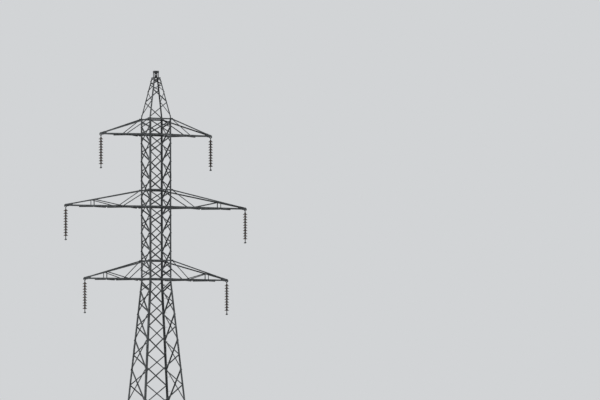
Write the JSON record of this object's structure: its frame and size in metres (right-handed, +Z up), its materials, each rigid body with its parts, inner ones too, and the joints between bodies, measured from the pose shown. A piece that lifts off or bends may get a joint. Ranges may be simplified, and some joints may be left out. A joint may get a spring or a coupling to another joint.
{
  "type": "lattice transmission pylon",
  "caption": "Steel lattice pylon with a tapered body, parallel cage, peak and stacked crossarms carrying swinging insulator strings.",
  "frame": {"origin": "centre of the base, on the plane of the undersides of the footings, at ground level", "axes": "+Z up the tower, +X along the crossarms to the right, +Y along the line"},
  "size_m": [10.6539, 4.34, 26],
  "materials": {
    "galvanised_steel": "weathered hot-dip galvanising, matt",
    "forged_fittings": "galvanised malleable iron, dull",
    "porcelain": "brown glaze, glossy",
    "concrete": "cast concrete, weathered"
  },
  "bodies": {
    "tower": {"footings": "concrete", "lower_legs": "galvanised_steel", "cage_legs": "galvanised_steel", "peak_legs": "galvanised_steel", "lower_bracing_front": "galvanised_steel", "lower_bracing_back": "galvanised_steel", "lower_bracing_left": "galvanised_steel", "lower_bracing_right": "galvanised_steel", "cage_bracing_front": "galvanised_steel", "cage_bracing_back": "galvanised_steel", "cage_bracing_left": "galvanised_steel", "cage_bracing_right": "galvanised_steel", "peak_bracing": "galvanised_steel", "plan_bracing": "galvanised_steel", "peak_cap": "galvanised_steel", "top_left_arm_chords": "galvanised_steel", "top_right_arm_chords": "galvanised_steel", "middle_left_arm_chords": "galvanised_steel", "middle_right_arm_chords": "galvanised_steel", "bottom_left_arm_chords": "galvanised_steel", "bottom_right_arm_chords": "galvanised_steel", "top_left_arm_bracing": "galvanised_steel", "top_right_arm_bracing": "galvanised_steel", "middle_left_arm_bracing": "galvanised_steel", "middle_right_arm_bracing": "galvanised_steel", "bottom_left_arm_bracing": "galvanised_steel", "bottom_right_arm_bracing": "galvanised_steel"},
    "top_left_string": {"top_left_discs": "porcelain", "top_left_string_fittings": "forged_fittings"},
    "top_right_string": {"top_right_discs": "porcelain", "top_right_string_fittings": "forged_fittings"},
    "middle_left_string": {"middle_left_discs": "porcelain", "middle_left_string_fittings": "forged_fittings"},
    "middle_right_string": {"middle_right_discs": "porcelain", "middle_right_string_fittings": "forged_fittings"},
    "bottom_left_string": {"bottom_left_discs": "porcelain", "bottom_left_string_fittings": "forged_fittings"},
    "bottom_right_string": {"bottom_right_discs": "porcelain", "bottom_right_string_fittings": "forged_fittings"},
    "earth_clamp": {"earth_wire_clamp": "forged_fittings"}
  },
  "joints": [
    {"name": "top_left_string_swing", "type": "hinge", "parent": "tower", "child": "top_left_string", "pos_m": [-3.18, 0, 22.45], "axis": [0, 1, 0], "range_deg": [-35, 35]},
    {"name": "top_right_string_swing", "type": "hinge", "parent": "tower", "child": "top_right_string", "pos_m": [3.18, 0, 22.45], "axis": [0, 1, 0], "range_deg": [-35, 35]},
    {"name": "middle_left_string_swing", "type": "hinge", "parent": "tower", "child": "middle_left_string", "pos_m": [-5.2, 0, 18.59], "axis": [0, 1, 0], "range_deg": [-35, 35]},
    {"name": "middle_right_string_swing", "type": "hinge", "parent": "tower", "child": "middle_right_string", "pos_m": [5.2, 0, 18.59], "axis": [0, 1, 0], "range_deg": [-35, 35]},
    {"name": "bottom_left_string_swing", "type": "hinge", "parent": "tower", "child": "bottom_left_string", "pos_m": [-4.11, 0, 14.73], "axis": [0, 1, 0], "range_deg": [-35, 35]},
    {"name": "bottom_right_string_swing", "type": "hinge", "parent": "tower", "child": "bottom_right_string", "pos_m": [4.11, 0, 14.73], "axis": [0, 1, 0], "range_deg": [-35, 35]},
    {"name": "earth_clamp_swing", "type": "hinge", "parent": "tower", "child": "earth_clamp", "pos_m": [0, 0, 25.86], "axis": [0, 1, 0], "range_deg": [-20, 20]}
  ]
}
